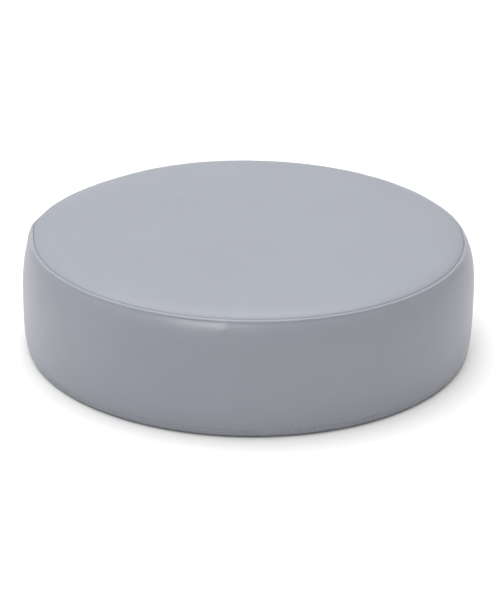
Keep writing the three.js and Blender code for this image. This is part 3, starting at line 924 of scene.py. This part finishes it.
turnedBlock("supportFoam", "support_foam", firmFoam, (0.0015, 0.0015))
turnedBlock("comfortFoam", "comfort_foam", softFoam, (0.0015, 0.0068))
makeWaddings()


def dressNode(node, material):
    # the node keeps its own mesh, under this material
    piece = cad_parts[node]
    piece.data.materials.clear()
    piece.data.materials.append(material)


dressNode("base_board", plywood)
print("stuffing made")


zipValues = {
    "tapeSteps": 140,
    "tapeThickness": 0.0006,
    "toothPitch": 0.00145,
    "wire": 0.00038,
    "legSpread": 0.62,  # between a tooth's two legs, as a share of the wire
    "bevel": 0.00022,
}


def boxArc(node):
    # the outer radius and heights of an arc-shaped node, and the angles it runs between
    low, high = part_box(node)
    places = [v.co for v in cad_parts[node].data.vertices]
    angles = [math.atan2(p.y, p.x) for p in places]
    return max(math.hypot(p.x, p.y) for p in places), low.z, high.z, min(angles), max(angles)


def makeTape(name, node):
    # its ends are caught in the two vertical seams
    outer, low, high, _, _ = boxArc(node)
    inner = outer - zipValues["tapeThickness"]
    outline = [(inner, low), (outer, low), (outer, low + 0.004)]
    outline += [(outer, high - 0.004), (outer, high), (inner, high)]
    bm = spinOutline(outline, zipStart, zipEnd - zipStart, zipValues["tapeSteps"])
    finishPiece(bm, name, tapeWeave, replaces=[node])


def makeCoil(name, node, side):
    v = zipValues
    outer, low, high, start, end = boxArc(node)
    step = v["toothPitch"] / outer
    count = int((end - start) / step)
    head = (low if side > 0 else high) - side * 0.00012
    foot = high if side > 0 else low
    reach, wire = abs(foot - head) / 2, v["wire"]
    bm = bmesh.new()
    for leg in (-1, 1):  # the wire comes out along one leg, round the head and back along the other
        made = bmesh.ops.create_uvsphere(bm, u_segments=8, v_segments=7, radius=1)["verts"]
        bmesh.ops.scale(bm, vec=(wire, wire, reach), verts=made)
        for vertex in made:
            vertex.co.y += leg * wire * v["legSpread"] * (0.4 - 0.6 * side * vertex.co.z / reach)
            vertex.co.x -= 0.0003 * (side * vertex.co.z / reach) ** 2
    made = bmesh.ops.create_uvsphere(bm, u_segments=8, v_segments=6, radius=1)["verts"]
    bmesh.ops.scale(bm, vec=(wire * 1.15, wire * 1.35, wire * 1.1), verts=made)
    bmesh.ops.translate(bm, vec=(0, 0, -side * (reach - wire * 1.1)), verts=made)
    bmesh.ops.translate(bm, vec=(outer - wire * 1.5, 0, (head + foot) / 2), verts=bm.verts)
    offset = step / 2 if side > 0 else 0
    first = Matrix.Rotation(start + step / 2 + offset, 3, "Z")
    bmesh.ops.rotate(bm, cent=(0, 0, 0), matrix=first, verts=bm.verts)
    bmesh.ops.spin(
        bm, geom=bm.verts[:] + bm.edges[:] + bm.faces[:], cent=(0, 0, 0), axis=(0, 0, 1), dvec=(0, 0, 0),
        angle=step * (count - 2), steps=count - 2, use_merge=False, use_duplicate=True,
    )
    bmesh.ops.recalc_face_normals(bm, faces=bm.faces)
    finishPiece(bm, name, coilNylon, replaces=[node], sharp=180)


def softenNode(name, node, material, rides=bodyName):
    # the node's own shape with its loose triangles joined and its edges rounded
    bm = bmesh.new()
    bm.from_mesh(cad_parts[node].data)
    bmesh.ops.remove_doubles(bm, verts=bm.verts, dist=1e-6)
    bmesh.ops.dissolve_limit(bm, angle_limit=math.radians(1), verts=bm.verts, edges=bm.edges)
    piece = finishPiece(bm, name, material, rides, [node], sharp=30)
    bevel = piece.modifiers.new("softEdges", "BEVEL")
    bevel.width, bevel.segments, bevel.limit_method = zipValues["bevel"], 3, "ANGLE"
    bevel.angle_limit, bevel.harden_normals = math.radians(35), False


makeTape("zipTapeUpper", "zip_tape_upper")
makeTape("zipTapeLower", "zip_tape_lower")
makeCoil("zipCoilUpper", "zip_coil_upper", 1)
makeCoil("zipCoilLower", "zip_coil_lower", -1)
softenNode("zipTopStopUpper", "zip_top_stop_upper", zipMetal)
softenNode("zipTopStopLower", "zip_top_stop_lower", zipMetal)
softenNode("zipEndStop", "zip_end_stop", zipMetal)
softenNode("zipSlider", "zip_slider", zipMetal, "zip_slider")
softenNode("zipPull", "zip_pull", zipMetal, "zip_pull")
print("zip made")


studioValues = {
    "world": 0.63,  # the room's own light, a little darker and warmer at the right
    "leftTint": (1, 1, 1),
    "rightTint": (0.62, 0.585, 0.56),
    "floorColour": 0.93,
    "floorSize": 6,  # half its side
    "key": {"power": 69, "size": 2.8, "place": (-0.16, 0.22, 2.1)},
    "front": {"power": 23, "size": 0.5, "place": (-0.66, -1.6, 1.16), "glossOnly": True},
}


def addSoftbox(name, power, size, place, glossOnly=False):
    data = bpy.data.lights.new(name, "AREA")
    data.energy, data.shape, data.size = power, "SQUARE", size
    light = bpy.data.objects.new(name, data)
    light.location = place
    light.rotation_euler = (Vector((0, 0, 0.05)) - Vector(place)).to_track_quat("-Z", "Y").to_euler()
    light.visible_diffuse = not glossOnly
    bpy.context.scene.collection.objects.link(light)


def buildStudio():
    v = studioValues
    bm = bmesh.new()
    bmesh.ops.create_grid(bm, x_segments=2, y_segments=2, size=v["floorSize"])
    mesh = bpy.data.meshes.new("floor")
    bm.to_mesh(mesh)
    bm.free()
    floor = bpy.data.objects.new("floor", mesh)
    bpy.context.scene.collection.objects.link(floor)
    material, _, shader = newMaterial("paleFloor", 0.9)
    shader.inputs["Base Color"].default_value = (*(v["floorColour"],) * 3, 1)
    shader.inputs["Specular IOR Level"].default_value = 0.1
    mesh.materials.append(material)
    world = bpy.data.worlds.new("studio")
    world.use_nodes = True
    tree = world.node_tree
    direction = addNode(tree, "ShaderNodeTexCoord").outputs["Generated"]
    across = addNode(tree, "ShaderNodeSeparateXYZ", Vector=direction).outputs["X"]
    share = addNode(tree, "ShaderNodeMapRange", Value=across, From_Min=-1.0).outputs["Result"]
    tint = ramp(tree, share, [(0, v["leftTint"]), (1, v["rightTint"])])
    tree.links.new(tint, tree.nodes["Background"].inputs["Color"])
    tree.nodes["Background"].inputs["Strength"].default_value = v["world"]
    bpy.context.scene.world = world
    addSoftbox("keySoftbox", **v["key"])
    addSoftbox("frontSoftbox", **v["front"])
    bpy.context.scene.view_settings.view_transform = "Standard"


buildStudio()
print("studio built")
